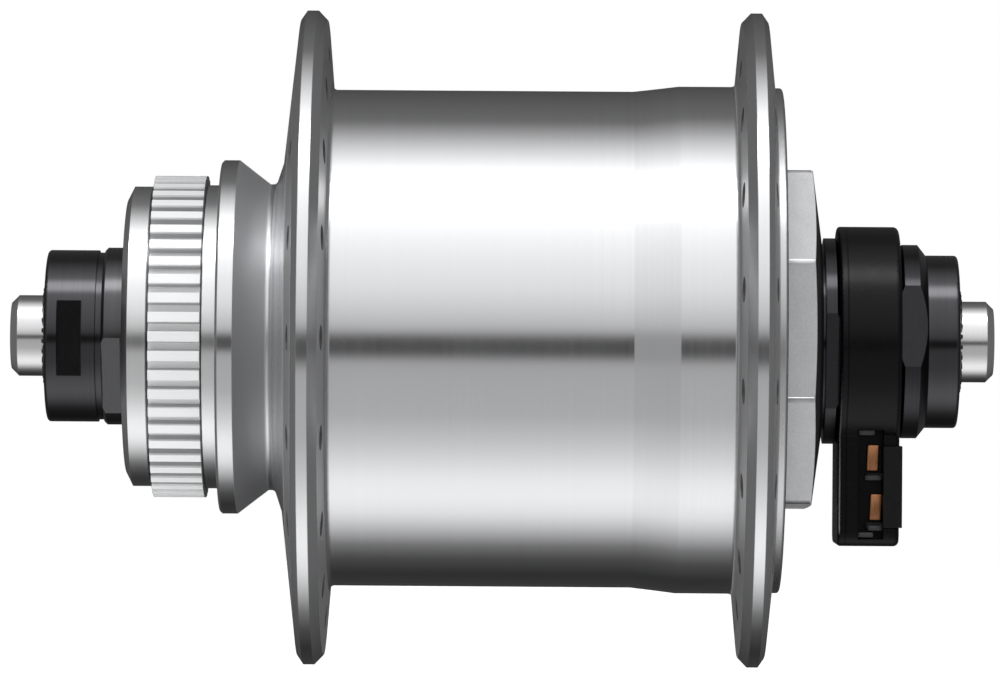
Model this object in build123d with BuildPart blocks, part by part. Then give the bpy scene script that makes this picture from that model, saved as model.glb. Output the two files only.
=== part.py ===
from build123d import *
import math
import os

# A front wheel hub that makes electricity, built as the real one is taken apart.
# The axle lies along Y. The brake disc side is +Y, the connector side is -Y and the
# connector hangs towards -Z. The origin is on the axle, midway between the outer faces
# of the two locknuts. All sizes are in millimetres.
# "Length" is measured along the axle, and an "end", "face" or "place" is a position on it.
# "front_angle" is the direction of -X, from which the wrench flats and holes are set.

# Whole hub
locknut_span = 100.0
axle_end_length = 4.0
flange_diameter = 72.0
flange_height = 8.7
left_flange_inset = 9.9
right_flange_inset = 22.3
front_angle = 180.0

# Clearances
seat_gap = 0.05
running_gap = 0.3
air_gap = 0.5
race_gap = 0.12
cage_gap = 0.08
cut_over = 1.0
pick_distance = 0.01

# Axle
axle_diameter = 9.0
axle_wall = 1.85
axle_tip_step = 0.05
axle_tip_chamfer = 0.8
axle_relief_length = 0.5
axle_relief_depth = 0.3
axle_shoulder_height = 2.1
axle_shoulder_length = 3.0
wire_groove_width = 1.3
wire_groove_depth = 1.15

# Disc side nuts
left_locknut_length = 5.6
left_locknut_radius = 9.45
locknut_rounding = 0.4
left_flat_width = 17.0
left_slot_length = 2.65
left_slot_inset = 1.45
left_slot_angle = 1.6
left_washer_length = 0.7
left_washer_radius = 9.2
left_cone_reveal = 2.5
left_cone_flat_length = 2.1
left_cone_flat_angle = 30.6
left_cone_chamfer = 0.3

# Connector side nuts
right_locknut_length = 3.5
right_locknut_radius = 9.5
right_nut_length = 3.0
right_nut_radius = 10.65
right_nut_flat_width = 19.3
right_nut_flat_angle = -10.0
right_nut_rim_length = 2.1
right_nut_chamfer = 0.4
right_cone_flange_radius = 11.325
right_cone_flange_length = 1.45
right_cone_flat_width = 20.0
right_cone_flat_angle = 12.5
right_cone_chamfer = 0.25

# Bearings
ball_diameter = 4.762
ball_count = 10
ball_circle_radius = 10.2
cone_inset = 0.45
cone_tail = 1.2
cup_margin = 3.8
cup_hole_inset = 1.8
cup_mouth = 2.3
cup_base = 1.1
left_ball_depth = 8.7
right_ball_depth = 3.8
cage_inset = 0.8
cage_width = 1.2
left_seal_length = 1.8

# Disc mount
lockring_bore_step = 0.5
nose_wall = 2.0
nose_ring_length = 2.7
nose_chamfer_width = 1.4
nose_chamfer_length = 0.7
spline_groove_length = 0.3
spline_groove_depth = 0.4
spline_count = 52
spline_length = 5.7
spline_foot_height = 0.3
spline_tooth_height = 0.9
spline_land_share = 0.5
spline_foot_share = 0.72
disc_neck_height = 0.2
disc_neck_length = 1.6
spigot_wall = 1.2
spigot_length = 6.0

# Shell
rotor_shoulder_height = 2.775
rotor_shoulder_length = 1.9
rotor_shoulder_chamfer = 0.25
shoulder_cone_length = 3.4
shell_waist_radius = 16.85
shell_waist_length = 0.7
flange_face_radius = 19.5
flange_rim_length = 1.2
flange_outer_edge_length = 0.65
flange_outer_edge_depth = 0.95
flange_inner_edge_length = 1.0
flange_inner_edge_depth = 1.05
flange_root_offset = 2.25
flange_outer_slope = 0.114
flange_root_rounding = 0.5
barrel_step = 0.6
barrel_step_inset = 6.25
barrel_step_length = 5.0
barrel_wall = 2.1
shell_wall = 3.2
left_pocket_radius = 13.2
cup_floor = 2.0
spoke_hole_count = 18
spoke_hole_diameter = 2.7
spoke_hole_inset = 5.0

# End cap
cap_end_offset = 2.0
cap_disc_inset = 0.1
cap_disc_length = 0.9
cap_disc_rounding = 0.35
cap_skirt_length = 4.2
cap_skirt_inset = 2.35
cap_skirt_wall = 2.2
cap_web = 2.2
cap_boss_wall = 2.4
octagon_sides = 8
octagon_width = 36.3
octagon_angle = 19.0
octagon_flat_width = 1.45
octagon_cone_drop = 1.15
cap_seal_width = 0.95
cap_seal_length = 0.95
right_seal_step = 0.4

# Generator
pole_pairs = 14
flux_ring_inset = 8.35
flux_ring_wall = 1.9
magnet_inset = 1.0
magnet_thickness = 2.6
magnet_angle_share = 0.93
stack_inset = 1.3
yoke_plate_length = 2.4
yoke_disc_margin = 1.0
claw_thickness = 1.7
claw_root_angle_share = 0.87
claw_tip_angle_share = 0.51
claw_tip_gap = 1.2
core_share = 0.28
bobbin_wall = 0.9
coil_rim_margin = 0.7
stator_nut_width = 15.0
stator_nut_length = 4.0

# Lead wire
wire_diameter = 1.0
wire_bend_radius = 1.6
wire_rise_gap = 0.35
wire_slope_length = 3.0
wire_coil_step = 1.45

# Connector
connector_length = 5.85
connector_plate_length = 0.9
connector_ring_radius = 12.6
connector_drop = 22.4
connector_width = 14.4
connector_corner = 1.5
connector_rounding = 0.6
plate_rounding = 0.35
channel_wall = 0.8
channel_height = 11.9
channel_inset = 1.35
channel_width = 2.75
channel_depth = 2.15
terminal_width = 1.5
terminal_height = 2.95
terminal_thickness = 0.6
terminal_inset = 0.9
terminal_pitch = 5.4
terminal_rise = 4.25
terminal_slant = 0.35
terminal_leg_width = 1.0
terminal_leg_thickness = 0.5
lower_leg_reach = 2.2
holder_rise = 2.0
holder_height = 9.0
holder_depth = 4.6
holder_stand_off = 0.2
holder_overhang = 0.3
lip_height = 0.6
lip_depth = 1.3
lip_gap = 0.2

# Radii that follow
axle_radius = axle_diameter / 2
skewer_radius = axle_radius - axle_wall
axle_tip_radius = axle_radius - axle_tip_step
axle_relief_radius = axle_radius - axle_relief_depth
axle_shoulder_radius = axle_radius + axle_shoulder_height
seat_radius = axle_radius + seat_gap
ball_radius = ball_diameter / 2
race_radius = ball_radius + race_gap
cone_radius = ball_circle_radius - cone_inset
cup_radius = ball_circle_radius + cup_margin
cup_hole_radius = ball_circle_radius - cup_hole_inset
lockring_bore_radius = cup_radius + lockring_bore_step
spigot_radius = cup_radius + seat_gap + spigot_wall
nose_radius = lockring_bore_radius + nose_wall
spline_groove_radius = nose_radius - spline_groove_depth
spline_root_radius = nose_radius + spline_foot_height
spline_tip_radius = spline_root_radius + spline_tooth_height
disc_neck_radius = nose_radius + disc_neck_height
rotor_shoulder_radius = disc_neck_radius + rotor_shoulder_height
flange_radius = flange_diameter / 2
spoke_circle_radius = flange_radius - spoke_hole_inset
barrel_radius = flange_radius - flange_height
barrel_end_radius = barrel_radius + barrel_step
cap_disc_radius = barrel_end_radius - cap_disc_inset
cap_skirt_radius = barrel_end_radius - cap_skirt_inset
right_seal_radius = cup_radius + right_seal_step
octagon_cone_radius = cone_radius + octagon_flat_width
cavity_radius = barrel_radius - barrel_wall
flux_ring_radius = cavity_radius - seat_gap
flux_ring_bore_radius = flux_ring_radius - flux_ring_wall
magnet_radius = flux_ring_bore_radius - seat_gap
magnet_bore_radius = magnet_radius - magnet_thickness
claw_radius = magnet_bore_radius - air_gap
claw_bore_radius = claw_radius - claw_thickness
bobbin_radius = claw_bore_radius - air_gap
coil_radius = bobbin_radius - coil_rim_margin
core_radius = seat_radius + core_share * (bobbin_radius - seat_radius)
bobbin_bore_radius = core_radius + seat_gap
coil_bore_radius = bobbin_bore_radius + bobbin_wall + seat_gap
shoulder_bore_radius = flux_ring_bore_radius
wire_coil_radius = core_radius + wire_coil_step

# Places along the axle, from the disc side to the connector side
left_locknut_face = locknut_span / 2
left_washer_face = left_locknut_face - left_locknut_length
left_cone_face = left_washer_face - left_washer_length
nose_face = left_cone_face - left_cone_reveal
nose_ring_end = nose_face - nose_ring_length
spline_start = nose_ring_end - spline_groove_length
spline_end = spline_start - spline_length
rotor_face = spline_end - disc_neck_length
rotor_shoulder_end = rotor_face - rotor_shoulder_length
waist_start = rotor_shoulder_end - shoulder_cone_length
waist_end = waist_start - shell_waist_length
spigot_face = rotor_face + spigot_length
left_ball_place = nose_face - left_ball_depth
left_cup_end = left_ball_place - race_radius - cup_base
left_seal_start = left_ball_place + ball_radius + running_gap
left_flange_place = rotor_face - left_flange_inset
right_flange_place = right_flange_inset - locknut_span / 2
flux_ring_start = left_flange_place - flux_ring_inset
flux_ring_end = right_flange_place + flux_ring_inset
magnet_start = flux_ring_start - magnet_inset
magnet_end = flux_ring_end + magnet_inset
stack_start = flux_ring_start - stack_inset
stack_end = flux_ring_end + stack_inset
core_start = stack_start - yoke_plate_length
core_end = stack_end + yoke_plate_length
wire_rise_place = stack_end - axle_shoulder_length - wire_rise_gap
wire_groove_place = wire_rise_place - wire_slope_length
shell_end = right_flange_place - cap_end_offset
cap_skirt_end = shell_end + cap_skirt_length
cap_disc_face = shell_end - cap_disc_length
right_locknut_face = -locknut_span / 2
right_nut_face = right_locknut_face + right_locknut_length
connector_face = right_nut_face + right_nut_length
plate_face = connector_face + connector_length
right_cone_face = plate_face + connector_plate_length
channel_start = plate_face - channel_inset
channel_end = channel_start - channel_width
upper_terminal_place = channel_start - terminal_inset - terminal_width / 2
lower_terminal_place = upper_terminal_place - terminal_slant
wire_groove_end = upper_terminal_place - wire_groove_width / 2
cap_face = right_cone_face + right_cone_flange_length + running_gap
right_ball_place = cap_face + right_ball_depth
right_cup_end = right_ball_place + race_radius + cup_base
right_seal_start = right_ball_place - ball_radius - running_gap

os.makedirs("parts", exist_ok=True)


def across_axle(place):
    """Plane square to the axle at a place on it, with X to its right and Z up."""
    return Plane.XZ.offset(-place)


def turned(points, mode=Mode.ADD):
    """Turn a closed outline of (radius, place) points about the axle."""
    with BuildSketch(Plane.XY) as outline:
        with BuildLine():
            Polyline(*points, close=True)
        make_face()
    revolve(outline.sketch, axis=Axis.Y, mode=mode)


def tube(bore_radius, radius, start, end):
    """A plain sleeve on the axle from one place to another."""
    turned([(bore_radius, start), (radius, start), (radius, end), (bore_radius, end)])


def ring_edges(piece, radius, place):
    """The round edges of a turned piece that have this radius and place."""
    return piece.edges().filter_by(GeomType.CIRCLE).filter_by(
        lambda edge: abs(edge.radius - radius) < pick_distance
        and abs(edge.arc_center.Y - place) < pick_distance
    )


def mill_flats(start, length, width, angle, radius):
    """Mill two wrench flats on a turned nut, so much below the front."""
    with BuildSketch(across_axle(start)) as waste:
        Circle(radius + cut_over)
        Rectangle(
            width,
            2 * (radius + cut_over),
            rotation=front_angle + angle,
            mode=Mode.SUBTRACT,
        )
    extrude(waste.sketch, amount=length, mode=Mode.SUBTRACT)


def ring_segment(bore_radius, radius, angle):
    """Segment of a flat ring, centred on the sketch's own X axis."""
    with BuildSketch() as segment:
        with BuildLine():
            inner = CenterArc((0, 0), bore_radius, -angle / 2, angle)
            outer = CenterArc((0, 0), radius, -angle / 2, angle)
            Line(inner @ 0, outer @ 0)
            Line(inner @ 1, outer @ 1)
        make_face()
    return segment.sketch


def save(piece, name):
    """Label a finished piece and write it as a file of its own."""
    piece.part.label = name
    export_step(piece.part, f"parts/{name}.step")


# Axle: hollow, with a shoulder that the stator seats on and a groove for the lead wire

axle_start = left_locknut_face + axle_end_length
axle_stop = right_locknut_face - axle_end_length
groove_floor = axle_radius - wire_groove_depth

with BuildPart() as axle:
    turned(
        [
            (skewer_radius, axle_start),
            (axle_tip_radius, axle_start),
            (axle_tip_radius, left_locknut_face),
            (axle_relief_radius, left_locknut_face),
            (axle_relief_radius, left_locknut_face - axle_relief_length),
            (axle_radius, left_locknut_face - axle_relief_length),
            (axle_radius, stack_end),
            (axle_shoulder_radius, stack_end),
            (axle_shoulder_radius, stack_end - axle_shoulder_length),
            (axle_radius, stack_end - axle_shoulder_length),
            (axle_radius, right_locknut_face + axle_relief_length),
            (axle_relief_radius, right_locknut_face + axle_relief_length),
            (axle_relief_radius, right_locknut_face),
            (axle_tip_radius, right_locknut_face),
            (axle_tip_radius, axle_stop),
            (skewer_radius, axle_stop),
        ]
    )
    tips = (
        ring_edges(axle, axle_tip_radius, axle_start)
        + ring_edges(axle, axle_tip_radius, axle_stop)
    )
    chamfer(tips, axle_tip_chamfer)
    with BuildSketch(across_axle(wire_groove_place)) as groove:
        with Locations((0, -groove_floor)):
            Rectangle(wire_groove_width, axle_radius, align=(Align.CENTER, Align.MAX))
    extrude(groove.sketch, amount=wire_groove_place - wire_groove_end, mode=Mode.SUBTRACT)
save(axle, "axle")

# Disc side: locknut, washer and cone, all screwed onto the axle

with BuildPart() as left_locknut:
    tube(seat_radius, left_locknut_radius, left_locknut_face, left_washer_face)
    fillet(ring_edges(left_locknut, left_locknut_radius, left_locknut_face), locknut_rounding)
    mill_flats(
        left_locknut_face - left_slot_inset,
        left_slot_length,
        left_flat_width,
        left_slot_angle,
        left_locknut_radius,
    )
save(left_locknut, "left_locknut")

with BuildPart() as left_washer:
    tube(seat_radius, left_washer_radius, left_washer_face, left_cone_face)
save(left_washer, "left_washer")


def bearing_cone(place, face, side):
    """Cone with a ball race at a place and its outer face at another; side is +1 or -1."""
    tail = place - side * cone_tail
    reach = math.degrees(math.acos((cone_radius - ball_circle_radius) / race_radius))
    with BuildSketch(Plane.XY) as outline:
        with BuildLine():
            race = CenterArc((ball_circle_radius, place), race_radius, 180, -side * (180 - reach))
            Polyline(
                race @ 1,
                (cone_radius, face),
                (seat_radius, face),
                (seat_radius, tail),
                (ball_circle_radius - race_radius, tail),
                race @ 0,
            )
        make_face()
    revolve(outline.sketch, axis=Axis.Y)


def bearing_cup(place, side):
    """Cup whose race opens outwards and holds the balls at a place; side is +1 or -1."""
    floor = place - side * race_radius
    back = floor - side * cup_base
    mouth = place + side * cup_mouth
    with BuildSketch(Plane.XY) as outline:
        with BuildLine():
            race = CenterArc((ball_circle_radius, place), race_radius, -side * 90, side * 90)
            Polyline(
                race @ 1,
                (ball_circle_radius + race_radius, mouth),
                (cup_radius, mouth),
                (cup_radius, back),
                (cup_hole_radius, back),
                (cup_hole_radius, floor),
                race @ 0,
            )
        make_face()
    revolve(outline.sketch, axis=Axis.Y)


def ball_ring(place, radius, mode=Mode.ADD):
    """The ring of balls, or of pockets for them, at a place."""
    with Locations(across_axle(place)):
        with PolarLocations(ball_circle_radius, ball_count):
            Sphere(radius, mode=mode)


def ball_cage(place, side):
    """Pressed ring that keeps the balls apart, on their outer side."""
    near = place + side * cage_inset
    far = near + side * cage_width
    inner = ball_circle_radius + cage_inset
    tube(inner, inner + cage_width, near, far)
    ball_ring(place, ball_radius + cage_gap, Mode.SUBTRACT)


with BuildPart() as left_cone:
    bearing_cone(left_ball_place, left_cone_face, 1)
    chamfer(ring_edges(left_cone, cone_radius, left_cone_face), left_cone_chamfer)
    mill_flats(
        left_cone_face + cut_over,
        left_cone_flat_length + cut_over,
        left_flat_width,
        left_cone_flat_angle,
        cone_radius,
    )
save(left_cone, "left_cone")

with BuildPart() as left_bearing_cup:
    bearing_cup(left_ball_place, 1)
save(left_bearing_cup, "left_bearing_cup")

with BuildPart() as left_balls:
    ball_ring(left_ball_place, ball_radius)
save(left_balls, "left_balls")

with BuildPart() as left_ball_cage:
    ball_cage(left_ball_place, 1)
save(left_ball_cage, "left_ball_cage")

with BuildPart() as left_dust_seal:
    tube(
        cone_radius + running_gap,
        cup_radius,
        left_seal_start + left_seal_length,
        left_seal_start,
    )
save(left_dust_seal, "left_dust_seal")

# Disc mount: splined sleeve on the shell's spigot, with the lockring's bore in its mouth

spline_pitch = 360 / spline_count
tooth_sink_radius = (spline_root_radius + spline_groove_radius) / 2
tooth_foot = tooth_sink_radius * math.radians(spline_pitch * spline_foot_share / 2)
tooth_land = spline_tip_radius * math.radians(spline_pitch * spline_land_share / 2)

with BuildSketch() as tooth:
    with BuildLine():
        Polyline(
            (tooth_sink_radius, -tooth_foot),
            (spline_tip_radius, -tooth_land),
            (spline_tip_radius, tooth_land),
            (tooth_sink_radius, tooth_foot),
            close=True,
        )
    make_face()

with BuildPart() as disc_mount:
    turned(
        [
            (lockring_bore_radius, nose_face),
            (nose_radius - nose_chamfer_width, nose_face),
            (nose_radius, nose_face - nose_chamfer_length),
            (nose_radius, nose_ring_end),
            (spline_groove_radius, nose_ring_end),
            (spline_groove_radius, spline_start),
            (spline_root_radius, spline_start),
            (spline_root_radius, spline_end),
            (disc_neck_radius, spline_end),
            (disc_neck_radius, rotor_face),
            (spigot_radius + seat_gap, rotor_face),
            (spigot_radius + seat_gap, spigot_face + seat_gap),
            (lockring_bore_radius, spigot_face + seat_gap),
        ]
    )
    with BuildSketch(across_axle(spline_start)) as teeth:
        with PolarLocations(0, spline_count, start_angle=front_angle):
            add(tooth.sketch)
    extrude(teeth.sketch, amount=spline_length)
save(disc_mount, "disc_mount")

# Shell: one turned piece with both spoke flanges, the bearing seat and the generator's bore


def flange_outline(middle, side, foot_radius):
    """Rim and two faces of a spoke flange, from its outer face; side is +1 or -1 outwards."""
    rim_out = middle + side * flange_rim_length / 2
    rim_in = middle - side * flange_rim_length / 2
    edge = flange_radius - flange_outer_edge_depth
    edge_place = rim_out + side * flange_outer_edge_length
    foot_place = edge_place + side * flange_outer_slope * (edge - foot_radius)
    return [
        (foot_radius, foot_place),
        (edge, edge_place),
        (flange_radius, rim_out),
        (flange_radius, rim_in),
        (flange_radius - flange_inner_edge_depth, rim_in - side * flange_inner_edge_length),
    ]


left_flange = flange_outline(left_flange_place, 1, flange_face_radius)
right_flange = flange_outline(right_flange_place, -1, barrel_end_radius)
left_root = left_flange_place - flange_root_offset
right_root = right_flange_place + flange_root_offset
barrel_step_end = right_root + barrel_step_inset
seal_seat_radius = cap_skirt_radius + seat_gap
seal_groove_radius = seal_seat_radius + cap_seal_width
pocket_face = left_cup_end - cup_floor
inner_wall = left_flange[0][1] - shell_wall

with BuildPart() as hub_shell:
    turned(
        [
            (cup_radius + seat_gap, spigot_face),
            (spigot_radius, spigot_face),
            (spigot_radius, rotor_face),
            (rotor_shoulder_radius, rotor_face),
            (rotor_shoulder_radius, rotor_shoulder_end),
            (shell_waist_radius, waist_start),
            (shell_waist_radius, waist_end),
            *left_flange,
            (barrel_radius, left_root),
            (barrel_radius, barrel_step_end + barrel_step_length),
            (barrel_end_radius, barrel_step_end),
            (barrel_end_radius, right_root),
            *reversed(right_flange[1:]),
            (barrel_end_radius, shell_end),
            (seal_groove_radius, shell_end),
            (seal_groove_radius, shell_end + cap_seal_length + seat_gap),
            (seal_seat_radius, shell_end + cap_seal_length + seat_gap),
            (seal_seat_radius, cap_skirt_end + seat_gap),
            (cavity_radius, cap_skirt_end + seat_gap),
            (cavity_radius, flux_ring_start),
            (shoulder_bore_radius, flux_ring_start),
            (shoulder_bore_radius, inner_wall),
            (left_pocket_radius, inner_wall),
            (left_pocket_radius, pocket_face),
            (cup_hole_radius + running_gap, pocket_face),
            (cup_hole_radius + running_gap, left_cup_end),
            (cup_radius + seat_gap, left_cup_end),
        ]
    )
    shoulder_rim = ring_edges(hub_shell, rotor_shoulder_radius, rotor_face)
    chamfer(shoulder_rim, rotor_shoulder_chamfer)
    flange_roots = (
        ring_edges(hub_shell, barrel_radius, left_root)
        + ring_edges(hub_shell, barrel_end_radius, right_root)
        + ring_edges(hub_shell, shell_waist_radius, waist_end)
    )
    fillet(flange_roots, flange_root_rounding)
    half_turn = 180 / spoke_hole_count
    for flange_place, first_hole in (
        (left_flange_place, front_angle),
        (right_flange_place, front_angle + half_turn),
    ):
        with BuildSketch(across_axle(flange_place)) as spoke_holes:
            with PolarLocations(spoke_circle_radius, spoke_hole_count, first_hole):
                Circle(spoke_hole_diameter / 2)
        extrude(spoke_holes.sketch, amount=shell_wall, both=True, mode=Mode.SUBTRACT)
save(hub_shell, "hub_shell")

# End cap: screwed into the shell by its skirt, with the tool's octagon and the right bearing

octagon_cone_run = octagon_width / 2 / math.cos(math.pi / octagon_sides) - octagon_cone_radius
cap_web_face = cap_disc_face + cap_web
cap_boss_radius = cup_radius + cap_boss_wall
cap_hub_end = right_cup_end + cup_floor / 2
seal_step = right_seal_start + seat_gap
cap_blank_radius = octagon_cone_radius + octagon_cone_run

with BuildPart() as end_cap:
    with BuildSketch(across_axle(cap_web_face)):
        RegularPolygon(octagon_width / 2, octagon_sides, major_radius=False, rotation=octagon_angle)
    extrude(amount=cap_web_face - cap_face)
    turned(
        [
            (0, cap_face),
            (octagon_cone_radius, cap_face),
            (cap_blank_radius, cap_face + octagon_cone_drop),
            (cap_blank_radius, cap_web_face),
            (0, cap_web_face),
        ],
        Mode.INTERSECT,
    )
    turned(
        [
            (0, cap_disc_face),
            (cap_disc_radius, cap_disc_face),
            (cap_disc_radius, shell_end),
            (cap_skirt_radius, shell_end),
            (cap_skirt_radius, cap_skirt_end),
            (cap_skirt_radius - cap_skirt_wall, cap_skirt_end),
            (cap_skirt_radius - cap_skirt_wall, cap_web_face),
            (cap_boss_radius, cap_web_face),
            (cap_boss_radius, cap_hub_end),
            (0, cap_hub_end),
        ]
    )
    turned(
        [
            (0, cap_hub_end + cut_over),
            (cup_hole_radius + running_gap, cap_hub_end + cut_over),
            (cup_hole_radius + running_gap, right_cup_end),
            (cup_radius + seat_gap, right_cup_end),
            (cup_radius + seat_gap, seal_step),
            (right_seal_radius + seat_gap, seal_step),
            (right_seal_radius + seat_gap, cap_face - cut_over),
            (0, cap_face - cut_over),
        ],
        Mode.SUBTRACT,
    )
    fillet(ring_edges(end_cap, cap_disc_radius, cap_disc_face), cap_disc_rounding)
save(end_cap, "end_cap")

with BuildPart() as end_cap_seal:
    tube(seal_seat_radius, seal_groove_radius, shell_end + cap_seal_length, shell_end)
save(end_cap_seal, "end_cap_seal")

seal_run = right_seal_radius - octagon_cone_radius
seal_drop = octagon_cone_drop * seal_run / octagon_cone_run

with BuildPart() as right_dust_seal:
    turned(
        [
            (cone_radius + running_gap, right_seal_start),
            (right_seal_radius, right_seal_start),
            (right_seal_radius, cap_face + seal_drop),
            (octagon_cone_radius, cap_face),
            (cone_radius + running_gap, cap_face),
        ]
    )
save(right_dust_seal, "right_dust_seal")

with BuildPart() as right_bearing_cup:
    bearing_cup(right_ball_place, -1)
save(right_bearing_cup, "right_bearing_cup")

with BuildPart() as right_balls:
    ball_ring(right_ball_place, ball_radius)
save(right_balls, "right_balls")

with BuildPart() as right_ball_cage:
    ball_cage(right_ball_place, -1)
save(right_ball_cage, "right_ball_cage")

right_cone_neck = right_cone_face + right_cone_flange_length

with BuildPart() as right_cone:
    bearing_cone(right_ball_place, right_cone_face, -1)
    tube(seat_radius, right_cone_flange_radius, right_cone_neck, right_cone_face)
    rims = ring_edges(right_cone, right_cone_flange_radius, right_cone_face)
    chamfer(rims, right_cone_chamfer)
    mill_flats(
        right_cone_neck,
        right_cone_flange_length + cut_over,
        right_cone_flat_width,
        right_cone_flat_angle,
        right_cone_flange_radius,
    )
save(right_cone, "right_cone")

with BuildPart() as right_nut:
    rim_place = connector_face - right_nut_rim_length
    turned(
        [
            (seat_radius, connector_face),
            (right_nut_radius, connector_face),
            (right_nut_radius, rim_place),
            (right_locknut_radius, right_nut_face),
            (seat_radius, right_nut_face),
        ]
    )
    chamfer(ring_edges(right_nut, right_nut_radius, connector_face), right_nut_chamfer)
    mill_flats(
        connector_face,
        right_nut_length,
        right_nut_flat_width,
        right_nut_flat_angle,
        right_nut_radius,
    )
save(right_nut, "right_nut")

with BuildPart() as right_locknut:
    tube(seat_radius, right_locknut_radius, right_nut_face, right_locknut_face)
    rims = ring_edges(right_locknut, right_locknut_radius, right_locknut_face)
    fillet(rims, locknut_rounding)
save(right_locknut, "right_locknut")

# Generator, turning part: steel ring with a ring of magnets bonded in it

with BuildPart() as flux_ring:
    tube(flux_ring_bore_radius, flux_ring_radius, flux_ring_start, flux_ring_end)
save(flux_ring, "flux_ring")

pole_count = 2 * pole_pairs
magnet = ring_segment(magnet_bore_radius, magnet_radius, 360 / pole_count * magnet_angle_share)

with BuildPart() as magnets:
    with BuildSketch(across_axle(magnet_start)) as magnet_ring:
        with PolarLocations(0, pole_count, start_angle=front_angle):
            add(magnet)
    extrude(magnet_ring.sketch, amount=magnet_start - magnet_end)
save(magnets, "magnets")

# Generator, standing part: two claw yokes whose fingers interlock round one ring coil

pole_pitch = 360 / pole_pairs
claw_root = ring_segment(claw_bore_radius, claw_radius, pole_pitch * claw_root_angle_share / 2)
claw_tip = ring_segment(claw_bore_radius, claw_radius, pole_pitch * claw_tip_angle_share / 2)
arm_bore_radius = bobbin_radius - yoke_disc_margin
claw_arm = ring_segment(arm_bore_radius, claw_radius, pole_pitch * claw_root_angle_share / 2)


def claw_yoke(outer_face, side, turn):
    """Disc with tapered claw poles bent over the coil; side is the way from the coil."""
    inner_face = outer_face - side * yoke_plate_length
    tip_place = inner_face - side * (core_start - core_end - claw_tip_gap)
    with BuildSketch(across_axle(outer_face)) as plate:
        Circle(arm_bore_radius + yoke_disc_margin)
        with PolarLocations(0, pole_pairs, start_angle=turn):
            add(claw_arm)
        Circle(seat_radius, mode=Mode.SUBTRACT)
    extrude(plate.sketch, amount=side * yoke_plate_length)
    for number in range(pole_pairs):
        place_angle = turn + number * pole_pitch
        with BuildSketch(across_axle(inner_face)) as root:
            with PolarLocations(0, 1, start_angle=place_angle):
                add(claw_root)
        with BuildSketch(across_axle(tip_place)) as tip:
            with PolarLocations(0, 1, start_angle=place_angle):
                add(claw_tip)
        loft([root.sketch.face(), tip.sketch.face()], ruled=True)


with BuildPart() as left_claw_yoke:
    claw_yoke(stack_start, 1, front_angle)
save(left_claw_yoke, "left_claw_yoke")

wire_radius = wire_diameter / 2
wire_hole_radius = wire_radius + running_gap

with BuildPart() as right_claw_yoke:
    claw_yoke(stack_end, -1, front_angle + pole_pitch / 2)
    with BuildSketch(across_axle(core_end)) as wire_hole:
        with Locations((0, -wire_coil_radius)):
            Circle(wire_hole_radius)
    extrude(wire_hole.sketch, amount=yoke_plate_length, mode=Mode.SUBTRACT)
save(right_claw_yoke, "right_claw_yoke")

with BuildPart() as stator_core:
    tube(seat_radius, core_radius, core_start, core_end)
save(stator_core, "stator_core")

bobbin_start = core_start - seat_gap
bobbin_end = core_end + seat_gap

with BuildPart() as coil_bobbin:
    turned(
        [
            (bobbin_bore_radius, bobbin_start),
            (bobbin_radius, bobbin_start),
            (bobbin_radius, bobbin_start - bobbin_wall),
            (bobbin_bore_radius + bobbin_wall, bobbin_start - bobbin_wall),
            (bobbin_bore_radius + bobbin_wall, bobbin_end + bobbin_wall),
            (bobbin_radius, bobbin_end + bobbin_wall),
            (bobbin_radius, bobbin_end),
            (bobbin_bore_radius, bobbin_end),
        ]
    )
save(coil_bobbin, "coil_bobbin")

with BuildPart() as coil_winding:
    tube(
        coil_bore_radius,
        coil_radius,
        bobbin_start - bobbin_wall - seat_gap,
        bobbin_end + bobbin_wall + seat_gap,
    )
save(coil_winding, "coil_winding")

with BuildPart() as stator_nut:
    with BuildSketch(across_axle(stack_start + stator_nut_length)):
        RegularPolygon(stator_nut_width / 2, 6, major_radius=False)
        Circle(seat_radius, mode=Mode.SUBTRACT)
    extrude(amount=stator_nut_length)
save(stator_nut, "stator_nut")

# Lead wire: out through the yoke, down into the axle's groove and up to the terminals

wire_groove_radius = groove_floor + wire_radius + seat_gap
lower_terminal_drop = connector_drop - terminal_rise
upper_terminal_drop = lower_terminal_drop - terminal_pitch
upper_leg_top = upper_terminal_drop - terminal_leg_thickness / 2

with BuildPart() as lead_wire:
    with BuildLine(Plane.YZ) as wire_path:
        FilletPolyline(
            (core_end, -wire_coil_radius),
            (wire_rise_place, -wire_coil_radius),
            (wire_groove_place - wire_bend_radius, -wire_groove_radius),
            (upper_terminal_place, -wire_groove_radius),
            (upper_terminal_place, -upper_leg_top),
            radius=wire_bend_radius,
        )
    with BuildSketch(across_axle(core_end)):
        with Locations((0, -wire_coil_radius)):
            Circle(wire_radius)
    sweep(path=wire_path.line)
save(lead_wire, "lead_wire")

# Connector: a moulded ring round the axle with a lug that carries two terminals in a channel

lug_face = -connector_width / 2
channel_floor = lug_face + channel_depth
channel_bottom = connector_drop - channel_wall
channel_top = channel_bottom - channel_height
holder_reach = lug_face + holder_depth
holder_bottom = connector_drop - holder_rise
holder_top = holder_bottom - holder_height
upper_leg_reach = wire_radius / 2 - channel_floor


def connector_blank(start, length):
    """Ring and lug in one outline, bored for the axle, from a place towards the outer end."""
    with BuildSketch(across_axle(start)) as outline:
        Rectangle(connector_width, connector_drop, align=(Align.CENTER, Align.MAX))
        fillet(outline.vertices().group_by(Axis.Y)[0], connector_corner)
        Circle(connector_ring_radius)
        Circle(seat_radius, mode=Mode.SUBTRACT)
    extrude(outline.sketch, amount=length)


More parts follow.
